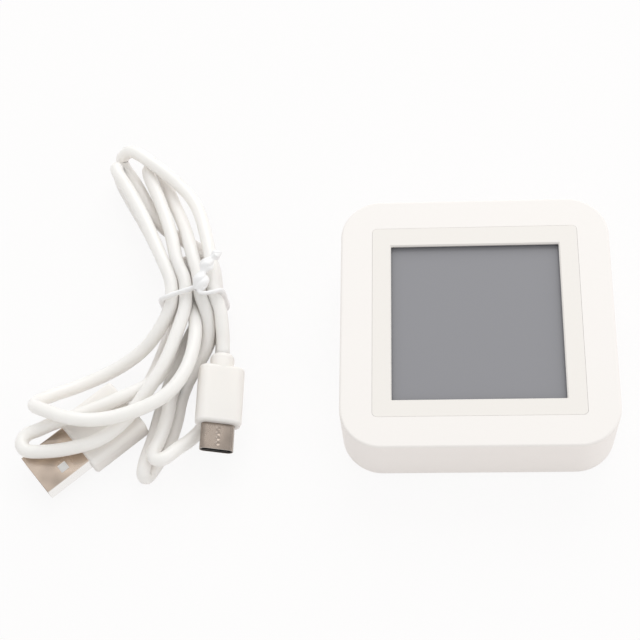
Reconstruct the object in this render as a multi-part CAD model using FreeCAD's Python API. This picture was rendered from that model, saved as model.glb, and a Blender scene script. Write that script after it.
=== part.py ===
import FreeCAD, Part
import math
import os

# Desk temperature and humidity sensor with a square display, lying on its back, and its power lead beside it.
# Millimetres. Origin under the middle of the sensor, +Z out of the display, +Y towards the display's top.

V = FreeCAD.Vector

# Housing
WIDTH = 66.0
HEIGHT = 18.0
CORNER_R = 10.0
FOOT_PROUD = 0.4
WALL = 2.0
FRONT_WALL = 1.5
FRONT_EDGE = 0.6
REAR_EDGE = 0.4

# Insert panel round the display
FRAME_W = 7.75
INSERT_R = 1.2
INSERT_T = 0.7
INSERT_LEDGE = 1.5
BORDER_W = 4.65
WINDOW_Y = -0.33
WINDOW_BEVEL = 0.3
SEAM = 0.05

# Display stack, from the front down
GLASS_LAP = 1.4
GASKET_W = 1.05
POLARISER_T = 0.2
GLASS_T = 0.7
GLASS_LEDGE = 2.0
GUIDE_T = 1.6
REFLECTOR_T = 0.2
CARRIER_RIM = 3.5
CARRIER_FLOOR = 0.8
CARRIER_POST_R = 1.5
POCKET_PLAY = 0.15
LED_SIZE = (2.8, 1.0, 0.8)
LED_IN = 8.0
PIN_PITCH = 2.0
PIN_IN = 2.9
PIN_W = 0.5
PIN_T = 0.25
PIN_GRIP = 1.2
PIN_TAIL = 1.0
PIN_HOLE_R = 0.45

# Boards
BOARD_T = 1.6
BOARD_GAP = 2.1
BOARD_SIDE_GAP = 0.5
BOARD_END_GAP = 2.0
BOARD_R = 5.0
BOARD_SCREW_IN = 2.4
BOARD_SCREW_Y = 14.0
BOSS_R = 2.6
BOSS_PLAY = 0.4

# Screws
COVER_SCREW_IN = 5.0
POST_R = 2.7
SCREW_SHANK_R = 1.1
SCREW_PLAY = 0.05
COVER_HEAD_R = 2.1
COVER_HEAD_T = 1.1
COVER_SCREW_L = 8.0
HEAD_PLAY = 0.2
BOARD_SHANK_R = 0.9
BOARD_HEAD_R = 1.8
BOARD_HEAD_T = 1.2
BOARD_SCREW_L = 5.6
DRIVE_R = 1.0
DRIVE_DEPTH = 0.6

# Rear cover
COVER_T = 2.0
COVER_PLAY = 0.1
COVER_R = 8.0
FOOT_R = 3.5
FOOT_X = 15.0
FOOT_IN = 4.6
FOOT_SEAT = 0.6
VENT_W = 1.4
VENT_R = 0.65
VENT_PITCH = 3.0
REAR_VENTS = 9
REAR_VENT_L = 7.0
REAR_VENT_Y = 18.6
SIDE_VENTS = 7
SIDE_VENT_H = 7.0
SIDE_VENT_Z = 7.4

# Fold-out stand
STAND_X = 26.0
STAND_L = 27.0
STAND_T = 1.5
STAND_AXIS_Y = -18.0
STAND_AXIS_Z = 1.55
KNUCKLE_R = 1.05
STAND_PIN_R = 0.5
STAND_PIN_PLAY = 0.05
STAND_PIN_SEAT = 1.4
STAND_PLAY = 0.3
WEB_GAP = 0.3
POCKET_HEEL = 1.7
POCKET_DEPTH = 2.4
POCKET_WALL = 1.4
SCOOP_R = 6.0
SCOOP_REACH = 3.5

# Pairing button and its switch
BUTTON_XY = (-22.0, -8.0)
BUTTON_R = 2.0
BUTTON_PLAY = 0.06
BUTTON_SUNK = 0.1
BUTTON_EDGE = 0.25
FLANGE_R = 2.9
FLANGE_T = 0.7
FLANGE_GAP = 0.05
STEM_R = 1.2
STEM_L = 1.15
PLUNGER_R = 1.6
PLUNGER_OUT = 0.7
SWITCH = 6.0
SWITCH_BORE = 1.7

# Power socket in the right-hand side wall
SOCKET_W = 8.94
SOCKET_H = 3.26
SOCKET_L = 7.3
SOCKET_WALL = 0.28
SOCKET_SUNK = 1.2
SLOT_PLAY = 0.35
TONGUE_W = 6.69
TONGUE_T = 0.7
TONGUE_L = 5.2
SOCKET_BACK = 0.8
CONTACTS = 12
CONTACT_PITCH = 0.5
CONTACT_W = 0.26
CONTACT_T = 0.08

# Sensing element behind the left-hand vents
MESH = (0.2, 24.0, 9.0)
SENSE_BOARD = (0.8, 10.0)
SENSE_BOARD_GAP = 0.3
SENSE_CHIP = (0.9, 2.5, 2.5)
SENSE_PORT_R = 0.5
SENSE_PORT_DEEP = 0.3
MESH_TO_BOARD = 1.3

# Chips on the rear of the main board: length, width, height
MODULE = (24.0, 16.0, 0.8)
MODULE_FROM_PINS = 2.0
SHIELD = (15.0, 12.0, 2.2)
SHIELD_X = -3.5
SHIELD_T = 0.3
DRIVER = (10.0, 10.0, 1.4)
DRIVER_X = -5.0
DRIVER_IN = 9.0
REGULATOR = (6.5, 3.5, 1.6)
REGULATOR_Y = 9.5
REGULATOR_IN = 10.6
CAPACITOR_R = 2.1
CAPACITOR_GAP = 1.4
CAPACITOR_YS = (9.5, 11.0)
CAPACITOR_INS = (17.1, 4.6)

# Power lead: one tube, tied at its waist
CORD_D = 3.4
WAIST = V(-71.7, 13.5, 0)
WAIST_TURN = 6.0
WAIST_HALF = 2.6
COLUMNS = 4
SLOT_PITCH = 3.9
LOW = 1.8
MID = 5.75
TOP = 9.7
TIE_LIFT = 1.7
LIFT_REACH = 24.0
STRAIGHT = CORD_D

# Twist tie
TIE_D = 1.2
TIE_ALONG = -2.0
TIE_GAP = 0.35
TWIST_R = 0.9
TWIST_PITCH = 4.2
TWIST_TURNS = 2.0
TWIST_FROM = (3.4, 0.2, 15.8)
TWIST_TO = (8.4, 6.2, 16.2)

# Plug at the sensor's end of the lead: places in the tie's own axes (across, along, height)
PLUG_C_BACK = (7.0, -18.6, 8.0)
PLUG_C_HEADING = -7.0
PLUG_C_ROLL = 18.0
NECK_R = 3.0
NECK_L = 3.6
NECK_EDGE = 1.25
C_MOULD = (15.0, 11.3, 6.0)
C_MOULD_R = 2.3
C_SHELL_OUT = 6.6
C_SHELL = (8.34, 2.56)
C_SHELL_WALL = 0.22
C_SHELL_IN = 5.0
C_SLOT = (6.9, 0.86)
C_SLOT_L = 5.0
C_INSERT_BACK = 0.2
DIMPLES = 4
DIMPLE_PITCH = 1.26
DIMPLE_R = 0.6
DIMPLE_DEEP = 0.16

# Plug at the supply's end
PLUG_A_BACK = (-17.4, -28.05, 4.0)
PLUG_A_HEADING = -235.5
A_MOULD = (16.2, 15.8, 6.8)
A_MOULD_R = 1.6
A_SHELL_OUT = 12.3
A_SHELL = (12.0, 4.5)
A_SHELL_R = 0.6
A_SHELL_WALL = 0.3
A_SHELL_IN = 7.0
A_TONGUE_T = 1.84
A_TONGUE_BACK = 0.9
A_HOLE = 2.2
A_HOLE_Y = 2.9
A_HOLE_FROM_TIP = 6.6
A_CONTACTS = ((-3.5, 1.0, 7.4), (-1.0, 1.0, 6.4), (1.0, 1.0, 6.4), (3.5, 1.0, 7.4))
A_CONTACT_T = 0.2

MOULD_EDGE = 0.8

# Sizes and levels that follow from the ones above
CAVITY = WIDTH - 2 * WALL
INSERT = WIDTH - 2 * FRAME_W
WINDOW = INSERT - 2 * BORDER_W
GLASS = WINDOW + 2 * GLASS_LAP
CARRIER = GLASS + 2 * CARRIER_RIM
BOARD_X = CAVITY - 2 * BOARD_SIDE_GAP
BOARD_Y = CAVITY - 2 * BOARD_END_GAP
BOARD_SCREW_X = CAVITY / 2 - BOARD_SCREW_IN
COVER_SCREW_XY = CAVITY / 2 - COVER_SCREW_IN
FOOT_Y = CAVITY / 2 - FOOT_IN
REAR = FOOT_PROUD
COVER_IN = REAR + COVER_T
WALL_IN = HEIGHT - FRONT_WALL
INSERT_BACK = HEIGHT - INSERT_T
LCD_TOP = WALL_IN
FRONT_GLASS_TOP = LCD_TOP - POLARISER_T
REAR_GLASS_TOP = FRONT_GLASS_TOP - GLASS_T
REAR_GLASS_BACK = REAR_GLASS_TOP - GLASS_T
GUIDE_TOP = REAR_GLASS_BACK - POLARISER_T
GUIDE_BACK = GUIDE_TOP - GUIDE_T
REFLECTOR_BACK = GUIDE_BACK - REFLECTOR_T
CARRIER_BACK = REFLECTOR_BACK - CARRIER_FLOOR
BOARD_TOP = CARRIER_BACK - BOARD_GAP
BOARD_BACK = BOARD_TOP - BOARD_T
SOCKET_Z = BOARD_BACK - SOCKET_H / 2
LEDGE_Y = WINDOW_Y - GLASS / 2 - GLASS_LEDGE
FLANGE_LOW = COVER_IN + FLANGE_GAP
PLUNGER_LOW = FLANGE_LOW + FLANGE_T + STEM_L
SWITCH_FACE = PLUNGER_LOW + PLUNGER_OUT
STAND_FLOOR = REAR + POCKET_DEPTH
MODULE_X = COVER_SCREW_XY - POST_R - BOSS_PLAY - MODULE[0] / 2
MODULE_Y = LEDGE_Y + MODULE_FROM_PINS + MODULE[1] / 2
TIE_CORNER = CORD_D / 2 + TIE_GAP + TIE_D / 2
OVER = 1.0
TINY = 1e-6


def rounded_square(side_x, side_y, radius, x=0.0, y=0.0, z=0.0):
    """Face: a rectangle with round corners, centred on x, y at height z."""
    wire = Part.makePlane(side_x, side_y, V(x - side_x / 2, y - side_y / 2, z)).OuterWire
    face = Part.Face(wire)
    if radius <= 0:
        return face
    block = face.extrude(V(0, 0, 1))
    upright = [e for e in block.Edges if abs(e.Vertexes[0].Point.z - e.Vertexes[1].Point.z) > 0.5]
    block = block.makeFillet(radius, upright)
    return [f for f in block.Faces if abs(f.CenterOfMass.z - z) < TINY and abs(f.normalAt(0, 0).z) > 0.9][0]


def slab(side_x, side_y, radius, low, high, x=0.0, y=0.0):
    """Solid: a rounded rectangle from one height to another."""
    return rounded_square(side_x, side_y, radius, x, y, low).extrude(V(0, 0, high - low))


def box(x, y, z):
    """Solid between pairs of coordinates along each axis."""
    return Part.makeBox(x[1] - x[0], y[1] - y[0], z[1] - z[0], V(x[0], y[0], z[0]))


def rod(radius, low, high, x=0.0, y=0.0):
    """Upright cylinder."""
    return Part.makeCylinder(radius, high - low, V(x, y, low))


def cut_all(shape, tools):
    return shape.cut(Part.makeCompound(tools)) if tools else shape


def four(x, y):
    return [(sx * x, sy * y) for sx in (-1, 1) for sy in (-1, 1)]


def edges_at(shape, height):
    """Edges that lie in one level."""
    return [e for e in shape.Edges if abs(e.BoundBox.ZMax - height) < TINY and e.BoundBox.ZLength < TINY]


def outer_edges(shape, height, half):
    """Edges of the outside outline in one level."""
    found = []
    for e in edges_at(shape, height):
        middle = e.valueAt((e.FirstParameter + e.LastParameter) / 2)
        if max(abs(middle.x), abs(middle.y)) > half:
            found.append(e)
    return found


def obround(width, height, length, y=0.0, z=0.0, x=0.0):
    """Solid along +X from x, with a section as wide as width in Y and round ends."""
    r = height / 2
    half = width / 2 - r
    middle = box((x, x + length), (y - half, y + half), (z - r, z + r))
    for side in (-1, 1):
        middle = middle.fuse(Part.makeCylinder(r, length, V(x, y + side * half, z), V(1, 0, 0)))
    return middle.removeSplitter()


# Housing and bezel

def side_vents():
    """Upright slots through the left-hand wall and the wall at the display's top."""
    tools = []
    for i in range(SIDE_VENTS):
        c = (i - (SIDE_VENTS - 1) / 2) * VENT_PITCH
        low = SIDE_VENT_Z - SIDE_VENT_H / 2
        high = SIDE_VENT_Z + SIDE_VENT_H / 2
        span = (-WIDTH / 2 - OVER, -CAVITY / 2 + OVER / 2)
        tools.append(box(span, (c - VENT_W / 2, c + VENT_W / 2), (low, high)))
        tools.append(box((c - VENT_W / 2, c + VENT_W / 2), (-span[1], -span[0]), (low, high)))
    return tools


def front_housing():
    body = slab(WIDTH, WIDTH, CORNER_R, REAR, HEIGHT)
    body = body.makeFillet(FRONT_EDGE, outer_edges(body, HEIGHT, CAVITY / 2 - COVER_R))
    body = body.makeFillet(REAR_EDGE, outer_edges(body, REAR, CAVITY / 2 - COVER_R))
    inside = slab(CAVITY, CAVITY, COVER_R, REAR - OVER, WALL_IN)
    recess = slab(INSERT, INSERT, INSERT_R, INSERT_BACK, HEIGHT + OVER)
    opening = INSERT - 2 * INSERT_LEDGE
    through = slab(opening, opening, INSERT_R - OVER, WALL_IN - OVER, HEIGHT)
    body = body.cut(inside).cut(recess).cut(through)
    posts = [rod(POST_R, COVER_IN, WALL_IN, x, y) for x, y in four(COVER_SCREW_XY, COVER_SCREW_XY)]
    bosses = [rod(BOSS_R, BOARD_TOP, WALL_IN, x, y) for x, y in four(BOARD_SCREW_X, BOARD_SCREW_Y)]
    inner = slab(WIDTH - WALL, WIDTH - WALL, CORNER_R - WALL / 2, REAR, HEIGHT - FRONT_WALL / 2)
    studs = Part.makeCompound(posts + bosses).common(inner)
    for s in studs.Solids:
        body = body.fuse(s)
    holes = []
    for x, y in four(COVER_SCREW_XY, COVER_SCREW_XY):
        holes.append(rod(SCREW_SHANK_R + SCREW_PLAY, COVER_IN - OVER, COVER_IN + COVER_SCREW_L, x, y))
    for x, y in four(BOARD_SCREW_X, BOARD_SCREW_Y):
        holes.append(rod(BOARD_SHANK_R + SCREW_PLAY, BOARD_TOP - OVER, BOARD_TOP + BOARD_SCREW_L, x, y))
    wall_x = CAVITY / 2 - OVER
    port = obround(SOCKET_W + 2 * SLOT_PLAY, SOCKET_H + 2 * SLOT_PLAY, WALL + 2 * OVER, 0, SOCKET_Z, wall_x)
    return cut_all(body, holes + [port] + side_vents()).removeSplitter()


def display_bezel():
    side = INSERT - 2 * SEAM
    plate = slab(side, side, INSERT_R - SEAM, INSERT_BACK, HEIGHT)
    plate = plate.cut(slab(WINDOW, WINDOW, 0, INSERT_BACK - OVER, HEIGHT + OVER, 0, WINDOW_Y))
    rim = [e for e in edges_at(plate, HEIGHT) if inside_window(e)]
    return plate.makeChamfer(WINDOW_BEVEL, rim)


def inside_window(edge):
    c = edge.CenterOfMass
    return max(abs(c.x), abs(c.y - WINDOW_Y)) < WINDOW / 2 + WINDOW_BEVEL


# Display stack

def square_ring(outer, inner, low, high):
    return slab(outer, outer, 0, low, high, 0, WINDOW_Y).cut(
        slab(inner, inner, 0, low - OVER, high + OVER, 0, WINDOW_Y))


def lcd_gasket():
    return square_ring(GLASS, GLASS - 2 * GASKET_W, LCD_TOP, INSERT_BACK)


def sheet(low, thick):
    return slab(GLASS, GLASS, 0, low, low + thick, 0, WINDOW_Y)


def lcd_rear_glass():
    half = GLASS / 2
    return box((-half, half), (LEDGE_Y, WINDOW_Y + half), (REAR_GLASS_BACK, REAR_GLASS_TOP))


def led_xs():
    reach = GLASS / 2 - LED_IN
    return (-reach, 0.0, reach)


def backlight_leds():
    length, deep, tall = LED_SIZE
    edge = WINDOW_Y + GLASS / 2
    low = (GUIDE_TOP + GUIDE_BACK - tall) / 2
    return Part.makeCompound([box((x - length / 2, x + length / 2), (edge, edge + deep), (low, low + tall))
                              for x in led_xs()])


def lcd_carrier():
    """White frame that holds the display and its light against the front wall."""
    body = slab(CARRIER, CARRIER, INSERT_R, CARRIER_BACK, WALL_IN, 0, WINDOW_Y)
    side = GLASS + 2 * POCKET_PLAY
    body = body.cut(slab(side, side, 0, REFLECTOR_BACK, HEIGHT, 0, WINDOW_Y))
    hollow = GLASS - 4 * GASKET_W
    body = body.cut(slab(hollow, hollow, INSERT_R, CARRIER_BACK - OVER, HEIGHT, 0, WINDOW_Y))
    half = GLASS / 2 - OVER
    foot = (LEDGE_Y - PIN_T - POCKET_PLAY, WINDOW_Y - GLASS / 2 + OVER)
    body = body.cut(box((-half - 2 * OVER, half + 2 * OVER), foot, (CARRIER_BACK - OVER, HEIGHT)))
    length, deep, tall = LED_SIZE
    edge = WINDOW_Y + GLASS / 2
    low = (GUIDE_TOP + GUIDE_BACK - tall) / 2
    for x in led_xs():
        body = body.cut(box((x - length / 2 - POCKET_PLAY, x + length / 2 + POCKET_PLAY),
                            (edge - OVER, edge + deep), (low, HEIGHT)))
    for x, y in four(COVER_SCREW_XY, COVER_SCREW_XY):
        body = body.cut(rod(POST_R + BOSS_PLAY, CARRIER_BACK - OVER, HEIGHT, x, y))
    reach = CARRIER / 2 - CARRIER_POST_R - BOSS_PLAY
    for x, y in ((-reach, 0), (reach, 0), (-reach / 2, reach + WINDOW_Y), (reach / 2, reach + WINDOW_Y)):
        body = body.fuse(rod(CARRIER_POST_R, BOARD_TOP, CARRIER_BACK, x, y))
    return body.removeSplitter()


def pin_xs():
    """Middles of the pins, as many as fit along the glass."""
    gaps = int((GLASS - 2 * PIN_IN) / PIN_PITCH)
    return [(i - gaps / 2) * PIN_PITCH for i in range(gaps + 1)]


def lcd_pins():
    """Row of clips on the glass's ledge, each with a leg down through the board."""
    pins = []
    grip = (LEDGE_Y, LEDGE_Y + PIN_GRIP)
    for x in pin_xs():
        side = (x - PIN_W / 2, x + PIN_W / 2)
        top = REAR_GLASS_TOP + PIN_T
        leg = box(side, (LEDGE_Y - PIN_T, LEDGE_Y), (BOARD_BACK - PIN_TAIL, top))
        over = box(side, grip, (REAR_GLASS_TOP, top))
        under = box(side, grip, (REAR_GLASS_BACK - PIN_T, REAR_GLASS_BACK))
        pins.append(leg.fuse(over).fuse(under).removeSplitter())
    return Part.makeCompound(pins)


# Boards and chips

def main_board():
    board = slab(BOARD_X, BOARD_Y, BOARD_R, BOARD_BACK, BOARD_TOP)
    tools = [rod(POST_R + BOSS_PLAY, BOARD_BACK - OVER, HEIGHT, x, y)
             for x, y in four(COVER_SCREW_XY, COVER_SCREW_XY)]
    tools += [rod(BOARD_SHANK_R + 2 * SCREW_PLAY, BOARD_BACK - OVER, HEIGHT, x, y)
              for x, y in four(BOARD_SCREW_X, BOARD_SCREW_Y)]
    tools += [rod(PIN_HOLE_R, BOARD_BACK - OVER, HEIGHT, x, LEDGE_Y - PIN_T / 2) for x in pin_xs()]
    return cut_all(board, tools)


def chip(size, x, y, top=BOARD_BACK):
    """Block fixed to the rear of the main board, or of what its top lies on."""
    length, width, height = size
    return box((x - length / 2, x + length / 2), (y - width / 2, y + width / 2), (top - height, top))


def wireless_shield_can():
    length, width, height = SHIELD
    top = BOARD_BACK - MODULE[2]
    hollow = (length - 2 * SHIELD_T, width - 2 * SHIELD_T, height - SHIELD_T)
    x = MODULE_X + SHIELD_X
    return chip(SHIELD, x, MODULE_Y, top).cut(chip(hollow, x, MODULE_Y, top))


def board_capacitors():
    """Two upright cans as tall as the room behind the board allows."""
    cans = []
    for y, inwards in zip(CAPACITOR_YS, CAPACITOR_INS):
        cans.append(rod(CAPACITOR_R, COVER_IN + CAPACITOR_GAP, BOARD_BACK, BOARD_SCREW_X - inwards, y))
    return Part.makeCompound(cans)


def sensor_board():
    thick, wide = SENSE_BOARD
    x = -CAVITY / 2 + MESH_TO_BOARD
    return box((x, x + thick), (-wide / 2, wide / 2), (COVER_IN + SENSE_BOARD_GAP, BOARD_BACK))


def humidity_sensor_chip():
    thick, wide, tall = SENSE_CHIP
    x = -CAVITY / 2 + MESH_TO_BOARD
    middle = (COVER_IN + SENSE_BOARD_GAP + BOARD_BACK) / 2
    block = box((x - thick, x), (-wide / 2, wide / 2), (middle - tall / 2, middle + tall / 2))
    port = Part.makeCylinder(SENSE_PORT_R, SENSE_PORT_DEEP, V(x - thick, 0, middle), V(1, 0, 0))
    return block.cut(port)


def dust_mesh():
    thick, wide, tall = MESH
    x = -CAVITY / 2
    return box((x, x + thick), (-wide / 2, wide / 2), (SIDE_VENT_Z - tall / 2, SIDE_VENT_Z + tall / 2))


# Power socket

def usb_c_socket_shell():
    front = WIDTH / 2 - SOCKET_SUNK
    outer = obround(SOCKET_W, SOCKET_H, SOCKET_L, 0, SOCKET_Z, front - SOCKET_L)
    inner_w = SOCKET_W - 2 * SOCKET_WALL
    inner_h = SOCKET_H - 2 * SOCKET_WALL
    return outer.cut(obround(inner_w, inner_h, SOCKET_L + 2 * OVER, 0, SOCKET_Z, front - SOCKET_L - OVER))


def usb_c_socket_tongue():
    back = WIDTH / 2 - SOCKET_SUNK - SOCKET_L
    inner_w = SOCKET_W - 2 * SOCKET_WALL
    inner_h = SOCKET_H - 2 * SOCKET_WALL
    base = obround(inner_w, inner_h, SOCKET_BACK, 0, SOCKET_Z, back)
    half = TONGUE_W / 2
    blade = box((back, back + SOCKET_BACK + TONGUE_L), (-half, half),
                (SOCKET_Z - TONGUE_T / 2, SOCKET_Z + TONGUE_T / 2))
    return base.fuse(blade).removeSplitter()


def usb_c_socket_contacts():
    back = WIDTH / 2 - SOCKET_SUNK - SOCKET_L + SOCKET_BACK
    bars = []
    for i in range(CONTACTS):
        y = (i - (CONTACTS - 1) / 2) * CONTACT_PITCH
        side = (y - CONTACT_W / 2, y + CONTACT_W / 2)
        span = (back, back + TONGUE_L - OVER / 2)
        for level in (SOCKET_Z + TONGUE_T / 2, SOCKET_Z - TONGUE_T / 2 - CONTACT_T):
            bars.append(box(span, side, (level, level + CONTACT_T)))
    return Part.makeCompound(bars)


# Screws and feet

def screw(x, y, face, head_r, head_t, shank_r, length):
    """Pan head below face, shank rising from it, with a cross drive."""
    body = rod(head_r, face - head_t, face, x, y)
    body = body.makeFillet(head_t / 4, [e for e in body.Edges if abs(e.BoundBox.ZMax - face + head_t) < TINY])
    body = body.fuse(rod(shank_r, face, face + length, x, y))
    low = face - head_t - OVER
    high = face - head_t + DRIVE_DEPTH
    arm = DRIVE_R / 4
    body = body.cut(box((x - DRIVE_R, x + DRIVE_R), (y - arm, y + arm), (low, high)))
    return body.cut(box((x - arm, x + arm), (y - DRIVE_R, y + DRIVE_R), (low, high)))


def cover_seat():
    """Level of the shoulder a cover screw's head bears on."""
    return REAR + COVER_HEAD_T + HEAD_PLAY / 2


def foot(x, y):
    pad = rod(FOOT_R, 0, REAR + FOOT_SEAT, x, y)
    return pad.makeFillet(REAR / 2, [e for e in pad.Edges if abs(e.BoundBox.ZMax) < TINY])


# Rear cover, stand and button

def stand_pocket():
    """Tools that cut the stand's pocket, its finger scoop and the two pin seats."""
    half = STAND_X / 2 + STAND_PLAY
    low = STAND_AXIS_Y - POCKET_HEEL
    high = STAND_AXIS_Y + STAND_L + STAND_PLAY
    pocket = box((-half, half), (low, high), (REAR - OVER, STAND_FLOOR))
    scoop = rod(SCOOP_R, REAR - OVER, STAND_FLOOR, 0, high - SCOOP_R + SCOOP_REACH)
    return [pocket, scoop, stand_pin_bar()]


def stand_pin_bar():
    half = STAND_X / 2 + STAND_PLAY + STAND_PIN_SEAT
    return Part.makeCylinder(STAND_PIN_R, 2 * half, V(-half, STAND_AXIS_Y, STAND_AXIS_Z), V(1, 0, 0))


def rear_cover():
    side = CAVITY - 2 * COVER_PLAY
    plate = slab(side, side, COVER_R - COVER_PLAY, REAR, COVER_IN)
    tray_x = STAND_X + 2 * (STAND_PLAY + POCKET_WALL) + 2 * STAND_PIN_SEAT
    low = STAND_AXIS_Y - POCKET_HEEL - POCKET_WALL
    high = STAND_AXIS_Y + STAND_L + STAND_PLAY + SCOOP_REACH + POCKET_WALL
    tray = slab(tray_x, high - low, POCKET_WALL, REAR, STAND_FLOOR + POCKET_WALL / 2, 0, (low + high) / 2)
    plate = plate.fuse(tray)
    x, y = BUTTON_XY
    tools = stand_pocket()
    tools.append(rod(BUTTON_R + BUTTON_PLAY, REAR - OVER, COVER_IN + OVER, x, y))
    for sx, sy in four(COVER_SCREW_XY, COVER_SCREW_XY):
        tools.append(rod(SCREW_SHANK_R + 2 * SCREW_PLAY, REAR - OVER, COVER_IN + OVER, sx, sy))
        tools.append(rod(COVER_HEAD_R + HEAD_PLAY, REAR - OVER, cover_seat(), sx, sy))
    for fx, fy in four(FOOT_X, FOOT_Y):
        tools.append(rod(FOOT_R, REAR - OVER, REAR + FOOT_SEAT, fx, fy))
    for i in range(REAR_VENTS):
        c = (i - (REAR_VENTS - 1) / 2) * VENT_PITCH
        tools.append(slab(VENT_W, REAR_VENT_L, VENT_R, REAR - OVER, COVER_IN + OVER, c, REAR_VENT_Y))
    return cut_all(plate, tools).removeSplitter()


def stand():
    """Plate that lies flush in the cover and swings out about a pin at its lower end."""
    low = REAR
    plate = box((-STAND_X / 2, STAND_X / 2), (STAND_AXIS_Y, STAND_AXIS_Y + STAND_L), (low, low + STAND_T))
    corners = [e for e in plate.Edges
               if abs(e.BoundBox.YMax - STAND_AXIS_Y - STAND_L) < TINY and e.BoundBox.ZLength > 1]
    corners = [e for e in corners if e.BoundBox.YLength < TINY and e.BoundBox.XLength < TINY]
    plate = plate.makeFillet(2 * OVER, corners)
    knuckle = Part.makeCylinder(KNUCKLE_R, STAND_X, V(-STAND_X / 2, STAND_AXIS_Y, STAND_AXIS_Z), V(1, 0, 0))
    web = box((-STAND_X / 2, STAND_X / 2), (STAND_AXIS_Y, STAND_AXIS_Y + 2 * KNUCKLE_R),
              (low, STAND_FLOOR - WEB_GAP))
    bore = Part.makeCylinder(STAND_PIN_R + STAND_PIN_PLAY, STAND_X + 2 * OVER,
                             V(-STAND_X / 2 - OVER, STAND_AXIS_Y, STAND_AXIS_Z), V(1, 0, 0))
    keep = box((-STAND_X, STAND_X), (STAND_AXIS_Y - 2 * STAND_L, STAND_AXIS_Y + 2 * STAND_L),
               (low, STAND_FLOOR))
    return plate.fuse(knuckle).fuse(web).common(keep).cut(bore).removeSplitter()


def pairing_button():
    x, y = BUTTON_XY
    face = REAR + BUTTON_SUNK
    cap = rod(BUTTON_R, face, FLANGE_LOW + FLANGE_T / 2, x, y)
    cap = cap.makeFillet(BUTTON_EDGE, [e for e in cap.Edges if abs(e.BoundBox.ZMax - face) < TINY])
    flange = rod(FLANGE_R, FLANGE_LOW, FLANGE_LOW + FLANGE_T, x, y)
    stem = rod(STEM_R, FLANGE_LOW, PLUNGER_LOW, x, y)
    return cap.fuse(flange).fuse(stem).removeSplitter()


def switch_plunger():
    x, y = BUTTON_XY
    return rod(PLUNGER_R, PLUNGER_LOW, SWITCH_FACE + PLUNGER_OUT, x, y)


def pairing_switch():
    x, y = BUTTON_XY
    body = chip((SWITCH, SWITCH, BOARD_BACK - SWITCH_FACE), x, y)
    return body.cut(rod(PLUNGER_R + BUTTON_PLAY, SWITCH_FACE - OVER, SWITCH_FACE + SWITCH_BORE, x, y))


# Power lead

def tie_axes():
    """Unit vectors along the tied waist, up the display's way, and across it."""
    h = math.radians(WAIST_TURN)
    return V(-math.sin(h), math.cos(h), 0), V(math.cos(h), math.sin(h), 0)


def place(across, along, height):
    a, b = tie_axes()
    return WAIST + b * across + a * along + V(0, 0, height)


def heading(degrees):
    """Level direction so many degrees left of the way along the waist."""
    a, b = tie_axes()
    h = math.radians(degrees)
    return b * -math.sin(h) + a * math.cos(h)


def lifted(across, along, height):
    """Place on the lead, raised near the tie, whose wire passes under the strands."""
    w = math.cos(math.pi / 2 * min(abs(along) / LIFT_REACH, 1)) ** 2
    return place(across, along, height + TIE_LIFT * w)


def free(*points):
    return [(lifted(*p), None) for p in points]


def through(column, height, way):
    """Straight stretch of a strand through the tie, up (way 1) or down (way -1)."""
    across = (column - (COLUMNS + 1) / 2) * SLOT_PITCH
    t = heading(0) * way
    return [(lifted(across, -way * WAIST_HALF, height), t), (lifted(across, way * WAIST_HALF, height), t)]


def turn(across, along, height, degrees, radius, rise, hand):
    """Round end of a loop: half a circle about a centre, seen along its heading."""
    t = heading(degrees)
    n = V(t.y, -t.x, 0) * hand
    off = n * radius + V(0, 0, rise)
    rho = off.Length
    c = lifted(across, along, height)
    return [(c + off, t), (c + t * rho, off * (-1 / rho)), (c - off, t * -1)]


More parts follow.
